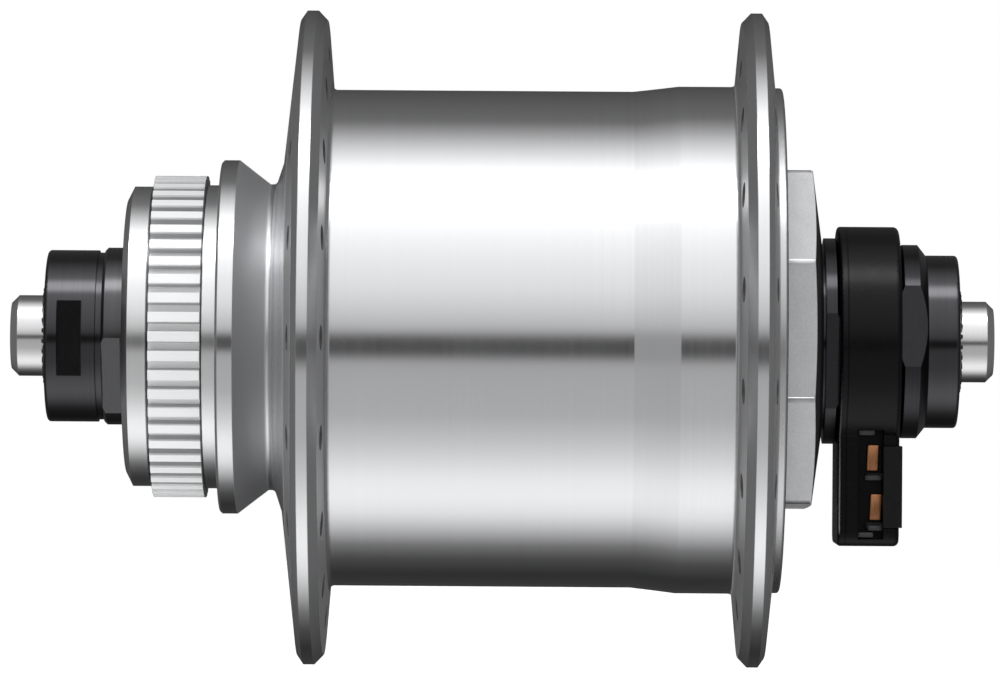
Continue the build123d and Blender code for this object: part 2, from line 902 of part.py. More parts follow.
def side_block(depth_from, depth_to, places, drops, mode=Mode.ADD):
    """Block seen from the front: from one depth to another, between two places and two drops."""
    with BuildSketch(Plane.YZ.offset(depth_from)) as outline:
        with Locations(((places[0] + places[1]) / 2, -(drops[0] + drops[1]) / 2)):
            Rectangle(abs(places[0] - places[1]), abs(drops[0] - drops[1]))
    extrude(outline.sketch, amount=depth_to - depth_from, mode=mode)


def around(middle, half):
    """The two ends of a stretch with this middle and half length."""
    return (middle - half, middle + half)


def terminal(place, drop, leg_reach):
    """Copper pad on the channel's floor with a leg into the housing."""
    pad_face = channel_floor - terminal_thickness
    side_block(
        pad_face,
        channel_floor,
        around(place, terminal_width / 2),
        around(drop, terminal_height / 2),
    )
    side_block(
        channel_floor,
        channel_floor + leg_reach,
        around(place, terminal_leg_width / 2),
        around(drop, terminal_leg_thickness / 2),
    )


def leg_slot(place, drop, leg_reach):
    """Slot in the housing for a terminal's leg."""
    side_block(
        channel_floor - seat_gap,
        channel_floor + leg_reach + seat_gap,
        around(place, terminal_leg_width / 2 + seat_gap),
        around(drop, terminal_leg_thickness / 2 + seat_gap),
        Mode.SUBTRACT,
    )


with BuildPart() as connector_plate:
    connector_blank(right_cone_face, connector_plate_length)
    inboard_rim = connector_plate.faces().sort_by(Axis.Y)[-1].outer_wire().edges()
    fillet(inboard_rim, plate_rounding)
save(connector_plate, "connector_plate")

with BuildPart() as connector_housing:
    connector_blank(plate_face, connector_length)
    outboard_rim = connector_housing.faces().sort_by(Axis.Y)[0].outer_wire().edges()
    fillet(outboard_rim, connector_rounding)
    side_block(
        -connector_ring_radius,
        channel_floor,
        (channel_start, channel_end),
        (channel_top, channel_bottom),
        Mode.SUBTRACT,
    )
    side_block(
        -connector_ring_radius,
        holder_reach,
        (channel_end + seat_gap, connector_face - cut_over),
        (holder_top, holder_bottom),
        Mode.SUBTRACT,
    )
    side_block(
        -wire_hole_radius,
        wire_hole_radius,
        (upper_terminal_place - wire_hole_radius, upper_terminal_place + wire_bend_radius),
        (0, upper_leg_top + terminal_leg_thickness),
        Mode.SUBTRACT,
    )
    leg_slot(upper_terminal_place, upper_terminal_drop, upper_leg_reach)
    leg_slot(lower_terminal_place, lower_terminal_drop, lower_leg_reach)
save(connector_housing, "connector_housing")

with BuildPart() as terminal_holder:
    side_block(
        lug_face - holder_stand_off,
        holder_reach - seat_gap,
        (channel_end, connector_face - holder_overhang),
        (holder_top + seat_gap, holder_bottom - seat_gap),
    )
    for lip_drop in (upper_terminal_drop, lower_terminal_drop):
        lip_top = lip_drop + terminal_height / 2 + lip_gap
        side_block(
            channel_floor - lip_depth,
            channel_floor - seat_gap,
            (upper_terminal_place + terminal_width / 2, channel_end),
            (lip_top, lip_top + lip_height),
        )
save(terminal_holder, "terminal_holder")

with BuildPart() as upper_terminal:
    terminal(upper_terminal_place, upper_terminal_drop, upper_leg_reach)
save(upper_terminal, "upper_terminal")

with BuildPart() as lower_terminal:
    terminal(lower_terminal_place, lower_terminal_drop, lower_leg_reach)
save(lower_terminal, "lower_terminal")
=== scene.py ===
"""Looks of a front hub dynamo: finishes, small shaped pieces, studio and camera.

The hub lies along Y, the brake disc side is +Y, the connector side is -Y and the
connector hangs towards -Z. Sizes are in millimetres and become metres where a piece
is made.
"""

import logging
import math
from dataclasses import dataclass
from enum import Enum
from typing import Callable, ClassVar, Sequence

import bmesh
import bpy
from mathutils import Matrix, Vector

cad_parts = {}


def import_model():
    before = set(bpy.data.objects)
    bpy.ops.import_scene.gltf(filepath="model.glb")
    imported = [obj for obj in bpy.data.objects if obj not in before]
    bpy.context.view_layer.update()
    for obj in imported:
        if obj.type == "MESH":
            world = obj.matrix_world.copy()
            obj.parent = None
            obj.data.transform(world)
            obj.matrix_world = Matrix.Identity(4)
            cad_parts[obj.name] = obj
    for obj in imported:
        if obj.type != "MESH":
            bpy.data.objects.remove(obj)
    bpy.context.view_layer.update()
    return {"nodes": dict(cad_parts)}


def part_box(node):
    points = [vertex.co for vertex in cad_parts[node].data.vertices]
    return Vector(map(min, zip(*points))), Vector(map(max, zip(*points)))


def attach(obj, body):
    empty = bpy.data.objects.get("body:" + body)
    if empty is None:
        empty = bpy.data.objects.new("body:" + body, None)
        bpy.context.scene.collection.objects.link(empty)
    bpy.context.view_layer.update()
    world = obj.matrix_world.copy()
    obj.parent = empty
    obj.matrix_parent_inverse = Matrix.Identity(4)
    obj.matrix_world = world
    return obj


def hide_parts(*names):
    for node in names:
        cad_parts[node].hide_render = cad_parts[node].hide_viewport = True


MM = 0.001
LOG = logging.getLogger("hub_dynamo")

# A step goes from 0 at its first value to 1 at its second, and a stop is a place with
# its level.
Colour = tuple[float, float, float]
Step = tuple[float, float]
Stops = Sequence[tuple[float, float]]

NOISE_ROUGHNESS = 0.6
NOISE_DETAIL = 3.0
BEVEL_SAMPLES = 4
RING_STEPS = 160

# The least cosine between a face's normal and the way it counts as facing.
FACING_LIMIT = 0.9

# How near two corners are merged, in millimetres.
MERGE_DISTANCE = 0.001

# The Mix node has sockets of the same name for each type of data, so the ones for
# colours are taken by number.
MIX_FACTOR = 0
MIX_FIRST = 6
MIX_SECOND = 7
MIX_RESULT = 2


class Body(Enum):
    """The bodies that the pieces ride on."""

    AXLE = "axle_set"
    SHELL = "hub_shell_set"


class Side(Enum):
    """An end of the hub, with the sign of its direction along the axle."""

    DISC = 1
    CONNECTOR = -1


# Shader graphs


class Wire:
    """A value in a shader graph. Arithmetic on it adds Math nodes."""

    def __init__(self, graph: "Graph", socket: bpy.types.NodeSocket) -> None:
        """Keep the graph and the socket that gives the value."""
        self.graph = graph
        self.socket = socket

    def output(self, name: str) -> "Wire":
        """Another output of the same node."""
        return Wire(self.graph, self.socket.node.outputs[name])

    def maths(self, operation: str, *others: "Wire | float") -> "Wire":
        """Any Math operation with this value as its first input."""
        values = dict(enumerate((self, *others)))
        return self.graph.node("ShaderNodeMath", {"operation": operation}, values)

    def __add__(self, other: "Wire | float") -> "Wire":
        """This value plus another."""
        return self.maths("ADD", other)

    def __radd__(self, other: float) -> "Wire":
        """A number plus this value."""
        return self.maths("ADD", other)

    def __sub__(self, other: "Wire | float") -> "Wire":
        """This value minus another."""
        return self.maths("SUBTRACT", other)

    def __rsub__(self, other: float) -> "Wire":
        """A number minus this value."""
        return self.graph.node("ShaderNodeMath", {"operation": "SUBTRACT"}, {0: other, 1: self})

    def __mul__(self, other: "Wire | float") -> "Wire":
        """This value times another."""
        return self.maths("MULTIPLY", other)

    def __rmul__(self, other: float) -> "Wire":
        """A number times this value."""
        return self.maths("MULTIPLY", other)

    def __truediv__(self, other: "Wire | float") -> "Wire":
        """This value divided by another."""
        return self.maths("DIVIDE", other)

    def __pow__(self, other: float) -> "Wire":
        """This value to a power."""
        return self.maths("POWER", other)


class Graph:
    """A node tree that is filled by expressions."""

    def __init__(self, tree: bpy.types.NodeTree) -> None:
        """Take a node tree and empty it."""
        self.tree = tree
        tree.nodes.clear()

    def node(
        self,
        kind: str,
        settings: dict[str, object] | None = None,
        inputs: dict[int | str, object] | None = None,
        output: int | str = 0,
    ) -> Wire:
        """Add a node.

        Args:
            kind: The node's type name.
            settings: Its properties, set first. "stops" fills a ramp with greys.
            inputs: Values or wires of its sockets.
            output: The output that is returned.

        Returns:
            The chosen output as a wire.
        """
        made = self.tree.nodes.new(kind)
        for name, value in (settings or {}).items():
            if name == "stops":
                self._fill_ramp(made.color_ramp, value)
            else:
                setattr(made, name, value)
        for name, value in (inputs or {}).items():
            if isinstance(value, Wire):
                self.tree.links.new(value.socket, made.inputs[name])
            else:
                made.inputs[name].default_value = value
        return Wire(self, made.outputs[output])

    def finish(self, kind: str, inputs: dict[int | str, object]) -> None:
        """Add the output node with its inputs."""
        made = self.tree.nodes.new(kind)
        for name, value in inputs.items():
            self.tree.links.new(value.socket, made.inputs[name])

    def mix(self, factor: Wire | float, first: object, second: object) -> Wire:
        """Blend two colours by a factor."""
        colours = {MIX_FACTOR: factor, MIX_FIRST: first, MIX_SECOND: second}
        return self.node("ShaderNodeMix", {"data_type": "RGBA"}, colours, MIX_RESULT)

    def between(self, value: Wire, low: float, high: float) -> Wire:
        """Soft step from 0 at one value to 1 at another."""
        settings = {"interpolation_type": "SMOOTHSTEP"}
        limits = {"Value": value, "From Min": low, "From Max": high}
        return self.node("ShaderNodeMapRange", settings, limits)

    def line(self, away: Wire, width: float, core: float) -> Wire:
        """1 near 0, within a share of the width, and 0 from the width on."""
        return self.between(away.maths("ABSOLUTE"), width, width * core)

    def vector(self, x: Wire | float, y: Wire | float, z: Wire | float) -> Wire:
        """Three values as one vector."""
        return self.node("ShaderNodeCombineXYZ", inputs={0: x, 1: y, 2: z})

    def noise(self, point: Wire, scale: float, detail: float = NOISE_DETAIL) -> Wire:
        """Noise from 0 to 1 at a point."""
        inputs = {
            "Vector": point,
            "Scale": scale,
            "Detail": detail,
            "Roughness": NOISE_ROUGHNESS,
        }
        return self.node("ShaderNodeTexNoise", inputs=inputs)

    def _fill_ramp(self, ramp: bpy.types.ColorRamp, stops: Stops) -> None:
        """Set a ramp's stops, given as places and grey levels."""
        while len(ramp.elements) > 1:
            ramp.elements.remove(ramp.elements[-1])
        ramp.elements[0].position = stops[0][0]
        ramp.elements[0].color = grey(stops[0][1])
        for place, level in stops[1:]:
            ramp.elements.new(place).color = grey(level)


def grey(level: float) -> tuple[float, float, float, float]:
    """A grey as a colour with alpha."""
    return (level, level, level, 1.0)


def shade(colour: Colour, factor: float) -> tuple[float, float, float, float]:
    """A colour made lighter or darker, with alpha."""
    return tuple(min(1.0, part * factor) for part in colour) + (1.0,)


class Place:
    """Where a shaded point lies on the hub, in millimetres."""

    def __init__(self, graph: Graph) -> None:
        """Read the object coordinates."""
        self.point = graph.node("ShaderNodeTexCoord", output="Object")
        split = graph.node("ShaderNodeSeparateXYZ", inputs={0: self.point}, output="X")
        self.x = split / MM
        self.y = split.output("Y") / MM
        self.z = split.output("Z") / MM
        self.radius = (self.x * self.x + self.z * self.z) ** 0.5
        self.angle = self.z.maths("ARCTAN2", self.x)


@dataclass(frozen=True)
class Zone:
    """A stretch of places in millimetres, with a soft step outside each end."""

    low: float
    high: float
    low_blend: float
    high_blend: float

    def mask(self, graph: Graph, place: Wire) -> Wire:
        """1 in the stretch and 0 outside its steps."""
        above = graph.between(place, self.low - self.low_blend, self.low)
        return above * graph.between(place, self.high + self.high_blend, self.high)


@dataclass(frozen=True)
class Finish:
    """A finish with its colour, gloss and the depth of its texture.

    Edge and relief are in millimetres. A contrast is how far noise takes the colour from
    its middle, and a swing is the whole span that noise takes the roughness through.
    """

    colour: Colour
    roughness: float
    metallic: float = 0.0
    edge: float = 0.12
    relief: float = 0.01
    specular: float = 0.5
    cloud_scale: float = 140.0
    cloud_contrast: float = 0.1
    gloss_scale: float = 260.0
    gloss_swing: float = 0.3
    grain_scale: float = 2500.0

    def varied(self, graph: Graph, noise: Wire, contrast: float) -> Wire:
        """The colour, made darker and lighter by noise."""
        dark = shade(self.colour, 1.0 - contrast)
        return graph.mix(noise, dark, shade(self.colour, 1.0 + contrast))

    def varied_gloss(self, noise: Wire) -> Wire:
        """The roughness, made smaller and larger by noise."""
        return self.roughness * (1.0 - self.gloss_swing / 2 + self.gloss_swing * noise)

    def metallic_of(self, graph: Graph, place: Place) -> Wire | float:
        """How metallic the surface is."""
        return self.metallic

    def colour_of(self, graph: Graph, place: Place) -> Wire:
        """Base colour with slow, faint variation."""
        cloud = graph.noise(place.point, self.cloud_scale)
        return self.varied(graph, cloud, self.cloud_contrast)

    def roughness_of(self, graph: Graph, place: Place) -> Wire:
        """Roughness with slow variation."""
        return self.varied_gloss(graph.noise(place.point, self.gloss_scale))

    def height_of(self, graph: Graph, place: Place) -> Wire:
        """Height of the surface's texture, from 0 to 1."""
        return graph.noise(place.point, self.grain_scale)

    def material(self, name: str) -> bpy.types.Material:
        """Build the material.

        Args:
            name: The material's name.

        Returns:
            The material with its node tree.
        """
        made = bpy.data.materials.new(name)
        made.use_nodes = True
        graph = Graph(made.node_tree)
        place = Place(graph)
        radius = {"Radius": self.edge * MM}
        rounded = graph.node("ShaderNodeBevel", {"samples": BEVEL_SAMPLES}, radius)
        bumped = graph.node(
            "ShaderNodeBump",
            inputs={
                "Strength": 1.0,
                "Distance": self.relief * MM,
                "Height": self.height_of(graph, place),
                "Normal": rounded,
            },
        )
        surface = graph.node(
            "ShaderNodeBsdfPrincipled",
            inputs={
                "Base Color": self.colour_of(graph, place),
                "Roughness": self.roughness_of(graph, place),
                "Metallic": self.metallic_of(graph, place),
                "Specular IOR Level": self.specular,
                "Normal": bumped,
            },
        )
        graph.finish("ShaderNodeOutputMaterial", {"Surface": surface})
        return made


@dataclass(frozen=True)
class TurnedMetal(Finish):
    """Metal off the lathe, with fine rings round the axle."""

    metallic: float = 1.0
    ring_density: float = 5.0
    ring_drift: float = 0.15
    ring_detail: float = 4.0
    ring_contrast: float = 0.05
    ring_swing: float = 0.35
    patch_swing: float = 0.25
    patch_scale: float = 90.0

    def rings(self, graph: Graph, place: Place) -> Wire:
        """The lathe's rings, from 0 to 1."""
        across = graph.vector(
            place.y * self.ring_density,
            place.radius * self.ring_density,
            place.angle * self.ring_drift,
        )
        return graph.noise(across, 1.0, self.ring_detail)

    def colour_of(self, graph: Graph, place: Place) -> Wire:
        """Colour that varies from ring to ring."""
        return self.varied(graph, self.rings(graph, place), self.ring_contrast)

    def roughness_of(self, graph: Graph, place: Place) -> Wire:
        """Roughness that varies from ring to ring and in soft patches."""
        rings = self.ring_swing * self.rings(graph, place)
        patches = self.patch_swing * graph.noise(place.point, self.patch_scale)
        least = 1.0 - (self.ring_swing + self.patch_swing) / 2
        return self.roughness * (least + rings + patches)

    def height_of(self, graph: Graph, place: Place) -> Wire:
        """The rings as relief."""
        return self.rings(graph, place)


@dataclass(frozen=True)
class DrilledShell(TurnedMetal):
    """The shell's polished metal, satin on the flanges' webs, the cone and the waist.

    It has painted shade inside each spoke hole, on the flanges' webs and on the cone, which
    stands in for the shade in the holes and for the dark reflections of the webs and the cone.
    The left flange's holes and the right flange's are half a pitch apart.
    """

    hole_circle: float = 31.0
    hole_radius: float = 1.35
    hole_edge: float = 0.1
    hole_count: int = 18
    # Painted shade inside the spoke holes.
    hole_painted_shade: float = 0.092
    right_step: Step = (0.5, -0.5)
    cone: Zone = Zone(25.6, 28.98, 0.3, 0.04)
    cone_roughness: float = 0.26
    # Painted shade on the cone, for its dark reflection.
    cone_painted_shade: float = 0.74
    waist: Zone = Zone(23.6, 28.98, 0.6, 0.04)
    waist_roughness: float = 0.1
    left_web: Zone = Zone(21.1, 23.1, 0.1, 0.4)
    web_inner_step: Step = (27.95, 28.05)
    web_outer_step: Step = (34.95, 34.9)
    # Painted shade on the webs, for their dark reflection.
    web_painted_shade: float = 0.23
    web_scatter: float = 0.85
    web_roughness: float = 0.22

    def _is_hole(self, graph: Graph, place: Place) -> Wire:
        """1 in the spoke holes, measured from the middle of the nearest one."""
        half = math.pi / self.hole_count
        from_left = place.angle.maths("PINGPONG", half)
        is_right = graph.between(place.y, *self.right_step)
        turn = from_left * (1 - is_right) + (half - from_left) * is_right
        along = place.radius * turn.maths("COSINE") - self.hole_circle
        aside = place.radius * turn.maths("SINE")
        away = (along * along + aside * aside) ** 0.5
        return graph.between(away, self.hole_radius + self.hole_edge, self.hole_radius)

    def _is_web(self, graph: Graph, place: Place) -> Wire:
        """1 on the flanges' faces, inside their polished rims."""
        above = graph.between(place.radius, *self.web_inner_step)
        inside = graph.between(place.radius, *self.web_outer_step)
        return above.maths("MAXIMUM", self.left_web.mask(graph, place.y)) * inside

    def metallic_of(self, graph: Graph, place: Place) -> Wire:
        """The satin webs scatter more light than the polished metal."""
        return 1.0 - self.web_scatter * self._is_web(graph, place)

    def colour_of(self, graph: Graph, place: Place) -> Wire:
        """Ring colour, with painted shade on the webs and the cone and the darkest painted
        shade in the holes.
        """
        rings = super().colour_of(graph, place)
        # The webs, the holes and the cone get painted shade.
        web = graph.mix(self._is_web(graph, place), rings, shade(self.colour, self.web_painted_shade))
        hole = shade(self.colour, self.hole_painted_shade)
        drilled = graph.mix(self._is_hole(graph, place), web, hole)
        cone = self.cone.mask(graph, place.y)
        return graph.mix(cone, drilled, shade(self.colour, self.cone_painted_shade))

    def roughness_of(self, graph: Graph, place: Place) -> Wire:
        """Rougher on the cone and the webs and, less so, round the waist."""
        cone = self.cone_roughness * self.cone.mask(graph, place.y)
        waist = self.waist_roughness * self.waist.mask(graph, place.y)
        web = self.web_roughness * self._is_web(graph, place)
        return super().roughness_of(graph, place) + (cone + waist + web)


@dataclass(frozen=True)
class SplinedMetal(TurnedMetal):
    """Turned metal with satin teeth, with painted shade on their flanks and roots and in the
    grooves.
    """

    teeth: Zone = Zone(32.55, 38.15, 0.1, 0.1)
    foot_step: Step = (16.84, 16.92)
    tip_step: Step = (17.4, 17.55)
    tooth_scatter: float = 0.88
    # Painted shade on the roots and flanks, for the shade between the teeth.
    root_painted_shade: float = 0.9
    flank_painted_shade: float = 0.46
    tip_shade: float = 0.96
    groove: Zone = Zone(38.2, 38.44, 0.06, 0.06)
    # A line of painted shade where the teeth end.
    painted_line_place: float = 32.5
    painted_line_width: float = 0.12
    painted_line_core: float = 0.6
    # How dark the painted shade in the groove and the end line is.
    groove_and_line_painted_shade: float = 0.12

    def metallic_of(self, graph: Graph, place: Place) -> Wire:
        """The teeth scatter more light than the turned rings."""
        return 1.0 - self.tooth_scatter * self.teeth.mask(graph, place.y)

    def colour_of(self, graph: Graph, place: Place) -> Wire:
        """White tips, painted shade on the flanks and roots, and painted shade in the groove
        and as a line at the teeth's ends.
        """
        foot = graph.between(place.radius, *self.foot_step)
        tip = graph.between(place.radius, *self.tip_step)
        root = shade(self.colour, self.root_painted_shade)
        flank = graph.mix(foot, root, shade(self.colour, self.flank_painted_shade))
        tooth = graph.mix(tip, flank, shade(self.colour, self.tip_shade))
        rings = super().colour_of(graph, place)
        sleeve = graph.mix(self.teeth.mask(graph, place.y), rings, tooth)
        # The groove and the end line get painted shade.
        line = graph.line(place.y - self.painted_line_place, self.painted_line_width, self.painted_line_core)
        dark = self.groove.mask(graph, place.y).maths("MAXIMUM", line)
        return graph.mix(dark, sleeve, shade(self.colour, self.groove_and_line_painted_shade))


@dataclass(frozen=True)
class BlastedCap(TurnedMetal):
    """The end cap: a fine grained satin octagon on a turned disc, dark on its end.

    The end face is a flat cone, given by its place at one radius and its slope.
    """

    octagon_step: Step = (-30.7, -30.8)
    octagon_scatter: float = 0.25
    speck_scale: float = 4200.0
    speck_detail: float = 2.0
    speck_share: float = 0.6
    mottle_scale: float = 420.0
    mottle_step: Step = (0.3, 0.7)
    satin_shade: float = 0.79
    satin_contrast: float = 0.05
    satin_roughness: float = 0.5
    satin_swing: float = 0.1
    satin_scale: float = 1500.0
    blast_scale: float = 3800.0
    blast_relief: float = 2.0
    disc_relief: float = 0.25
    disc_dulling: float = 0.22
    dull_shade: float = 0.1
    cone_place: float = -35.0
    cone_radius: float = 11.3
    cone_slope: float = 0.1378
    end_step: Step = (0.08, 0.02)
    end_shade: float = 0.06

    def _is_octagon(self, graph: Graph, place: Place) -> Wire:
        """1 on the octagon and 0 on the disc."""
        return graph.between(place.y, *self.octagon_step)

    def _is_end(self, graph: Graph, place: Place) -> Wire:
        """1 on the octagon's end face and 0 on its sides."""
        face = self.cone_place + self.cone_slope * (place.radius - self.cone_radius)
        return graph.between(place.y - face, *self.end_step)

    def metallic_of(self, graph: Graph, place: Place) -> Wire:
        """The blasted octagon scatters more light than the turned disc."""
        return 1.0 - self.octagon_scatter * self._is_octagon(graph, place)

    def colour_of(self, graph: Graph, place: Place) -> Wire:
        """Speckled light grey on the octagon, dulled rings on the disc."""
        speck = graph.noise(place.point, self.speck_scale, self.speck_detail)
        patch = graph.noise(place.point, self.mottle_scale)
        blend = speck * self.speck_share + patch * (1.0 - self.speck_share)
        mottle = graph.between(blend, *self.mottle_step)
        dark = shade(self.colour, self.satin_shade - self.satin_contrast)
        light = shade(self.colour, self.satin_shade + self.satin_contrast)
        satin = graph.mix(mottle, dark, light)
        rings = super().colour_of(graph, place)
        disc = graph.mix(self.disc_dulling, rings, shade(self.colour, self.dull_shade))
        sides = graph.mix(self._is_octagon(graph, place), disc, satin)
        return graph.mix(self._is_end(graph, place), sides, shade(self.colour, self.end_shade))

    def roughness_of(self, graph: Graph, place: Place) -> Wire:
        """Rough on the octagon, smooth on the disc."""
        noise = graph.noise(place.point, self.satin_scale)
        satin = self.satin_roughness + self.satin_swing * noise
        octagon = self._is_octagon(graph, place)
        return super().roughness_of(graph, place) * (1 - octagon) + satin * octagon

    def height_of(self, graph: Graph, place: Place) -> Wire:
        """Blasted grain on the octagon, rings on the disc."""
        grain = graph.noise(place.point, self.blast_scale) * self.blast_relief
        rings = self.rings(graph, place) * self.disc_relief
        octagon = self._is_octagon(graph, place)
        return rings * (1 - octagon) + grain * octagon


@dataclass(frozen=True)
class MouldedPlastic(Finish):
    """Injection moulded plastic with a finely mottled skin.

    The gloss share is the scale of the mottled gloss, as a share of the skin's.
    """

    specular: float = 0.2
    mottle_scale: float = 1600.0
    mottle_detail: float = 4.0
    mottle_contrast: float = 0.3
    gloss_share: float = 0.5
    gloss_swing: float = 0.5

    def _mottle(self, graph: Graph, place: Place, share: float = 1.0) -> Wire:
        """The mottled skin, from 0 to 1, at a share of its scale."""
        return graph.noise(place.point, self.mottle_scale * share, self.mottle_detail)

    def colour_of(self, graph: Graph, place: Place) -> Wire:
        """Nearly even colour with a faint mottle."""
        return self.varied(graph, self._mottle(graph, place), self.mottle_contrast)

    def roughness_of(self, graph: Graph, place: Place) -> Wire:
        """Satin with a mottled gloss."""
        return self.varied_gloss(self._mottle(graph, place, self.gloss_share))

    def height_of(self, graph: Graph, place: Place) -> Wire:
        """The mottled skin as relief."""
        return self._mottle(graph, place)


@dataclass(frozen=True)
class EdgedPlastic(MouldedPlastic):
    """Moulded plastic with a painted highlight: a lighter line down the edge of its front.

    The line lies on the front only, gets lighter on its way down and ends at the foot.
    """

    # A painted highlight: the lighter line down the front edge.
    painted_line_place: float = -36.97
    painted_line_width: float = 0.1
    painted_line_core: float = 0.4
    front_step: Step = (-6.45, -6.5)
    fade_step: Step = (-2.0, -18.0)
    foot_step: Step = (-21.2, -20.6)
    painted_highlight_colour: Colour = (0.2, 0.2, 0.21)

    def colour_of(self, graph: Graph, place: Place) -> Wire:
        """Black, with the lighter line of painted highlight."""
        # The line is a painted highlight.
        line = graph.line(place.y - self.painted_line_place, self.painted_line_width, self.painted_line_core)
        line = line * graph.between(place.x, *self.front_step)
        line = line * graph.between(place.z, *self.fade_step)
        line = line * graph.between(place.z, *self.foot_step)
        skin = super().colour_of(graph, place)
        return graph.mix(line, skin, shade(self.painted_highlight_colour, 1.0))


@dataclass(frozen=True)
class SheetCopper(Finish):
    """Rolled copper with a lengthwise grain and slight tarnish."""

    metallic: float = 1.0
    tarnish: Colour = (0.39, 0.169, 0.065)
    tarnish_step: Step = (0.42, 0.66)
    patch_scale: float = 700.0
    streak_share: float = 0.6
    grain: tuple[float, float, float] = (3.0, 5.0, 0.5)

    def colour_of(self, graph: Graph, place: Place) -> Wire:
        """Bright copper with tarnished streaks along the grain."""
        patch = graph.noise(place.point, self.patch_scale)
        streak = self.height_of(graph, place)
        blend = patch * (1.0 - self.streak_share) + streak * self.streak_share
        worn = graph.between(blend, *self.tarnish_step)
        return graph.mix(worn, shade(self.colour, 1.0), shade(self.tarnish, 1.0))

    def height_of(self, graph: Graph, place: Place) -> Wire:
        """Grain drawn out along the strip."""
        across, aside, along = self.grain
        drawn = graph.vector(place.x * across, place.y * aside, place.z * along)
        return graph.noise(drawn, 1.0)


@dataclass(frozen=True)
class WoundCopper(Finish):
    """Enamelled wire in even turns round the axle."""

    metallic: float = 0.8
    turns_per_mm: float = 2.2
    # Painted shade between the turns and a painted highlight on their crowns.
    gap_painted_shade: float = 0.45
    crown_painted_highlight: float = 1.15

    def height_of(self, graph: Graph, place: Place) -> Wire:
        """One rounded ridge for each turn, from 0 to 1."""
        turn = (place.y * self.turns_per_mm * math.tau).maths("SINE")
        return (turn + 1.0) / 2.0

    def colour_of(self, graph: Graph, place: Place) -> Wire:
        """Painted shade between the turns and a painted highlight on their crowns."""
        gap = shade(self.colour, self.gap_painted_shade)
        crown = shade(self.colour, self.crown_painted_highlight)
        return graph.mix(self.height_of(graph, place), gap, crown)


SHELL_METAL = DrilledShell((0.865, 0.87, 0.885), 0.15, ring_contrast=0.03, relief=0.0006)
SPLINE_METAL = SplinedMetal(
    (0.93, 0.935, 0.945), 0.2, ring_contrast=0.04, relief=0.0015, edge=0.06
)
CAP_METAL = BlastedCap((0.89, 0.895, 0.91), 0.28, relief=0.004, edge=0.1)
EDGE_METAL = TurnedMetal((0.93, 0.93, 0.94), 0.14, ring_density=9.0, relief=0.001, edge=0.05)
CORNER_METAL = TurnedMetal(
    (0.62, 0.625, 0.635), 0.36, ring_density=9.0, relief=0.001, edge=0.05
)
AXLE_METAL = TurnedMetal((0.86, 0.86, 0.87), 0.17, ring_density=9.0, relief=0.0015)
BLACK_STEEL = TurnedMetal((0.075, 0.075, 0.08), 0.16, ring_contrast=0.15, relief=0.0005)
TOOTH_STEEL = TurnedMetal((0.06, 0.06, 0.065), 0.26, ring_contrast=0.3, relief=0.003, edge=0.04)
DARK_CONE = TurnedMetal((0.105, 0.105, 0.11), 0.18, ring_contrast=0.2, relief=0.0006)
NUT_STEEL = TurnedMetal((0.046, 0.046, 0.05), 0.15, ring_contrast=0.2, relief=0.0006)
RACE_STEEL = TurnedMetal((0.5, 0.5, 0.51), 0.22, ring_density=7.0, relief=0.002)
BALL_STEEL = Finish((0.82, 0.82, 0.83), 0.06, metallic=1.0, relief=0.0003, edge=0.01)
PRESSED_STEEL = Finish((0.45, 0.44, 0.42), 0.34, metallic=1.0, relief=0.004, edge=0.08)
RAW_IRON = TurnedMetal((0.3, 0.29, 0.28), 0.42, ring_contrast=0.15, relief=0.006)
MAGNET_STONE = Finish((0.085, 0.085, 0.09), 0.48, metallic=0.4, relief=0.012)
SEAL_RUBBER = MouldedPlastic((0.008, 0.008, 0.0085), 0.5, mottle_scale=900.0, relief=0.006)
RING_RUBBER = MouldedPlastic((0.025, 0.024, 0.023), 0.6, mottle_scale=700.0, relief=0.006)
BLACK_PLASTIC = MouldedPlastic(
    (0.002, 0.002, 0.0023), 0.26, mottle_scale=1500.0, relief=0.01, edge=0.22
)
PLATE_PLASTIC = EdgedPlastic(
    (0.002, 0.002, 0.0023), 0.26, mottle_scale=1500.0, relief=0.008, edge=0.2
)
HOLDER_PLASTIC = MouldedPlastic(
    (0.007, 0.007, 0.0075), 0.32, mottle_scale=1200.0, relief=0.006, edge=0.15
)
# The housing's plastic made lighter for the ledges: a painted highlight on top of the real
# reflection of their sloping faces.
LEDGE_HIGHLIGHT_PLASTIC = MouldedPlastic(
    (0.024, 0.024, 0.027), 0.34, mottle_scale=1200.0, relief=0.004, specular=0.4
)
BOBBIN_NYLON = MouldedPlastic((0.62, 0.58, 0.48), 0.42, mottle_scale=500.0, relief=0.008)
WIRE_SLEEVE = MouldedPlastic((0.35, 0.03, 0.03), 0.38, mottle_scale=1200.0, relief=0.004)
STRIP_COPPER = SheetCopper((0.64, 0.29, 0.145), 0.3, relief=0.006, edge=0.12)
COIL_COPPER = WoundCopper((0.62, 0.27, 0.12), 0.3, relief=0.06)


# Modelling


def deselect_all() -> None:
    """Leave edit mode and deselect every object."""
    if bpy.context.object and bpy.context.object.mode != "OBJECT":
        bpy.ops.object.mode_set(mode="OBJECT")
    bpy.ops.object.select_all(action="DESELECT")


def edit(piece: bpy.types.Object) -> None:
    """Make one piece active and enter edit mode with all of it selected."""
    deselect_all()
    bpy.context.view_layer.objects.active = piece
    piece.select_set(True)
    bpy.ops.object.mode_set(mode="EDIT")
    bpy.ops.mesh.select_all(action="SELECT")


def select_faces(piece: bpy.types.Object, test: Callable[[bmesh.types.BMFace], bool]) -> None:
    """Select the faces that pass a test, in edit mode."""
    bpy.ops.mesh.select_mode(type="FACE")
    mesh = bmesh.from_edit_mesh(piece.data)
    for face in mesh.faces:
        face.select_set(test(face))
    mesh.select_flush_mode()
    bmesh.update_edit_mesh(piece.data)


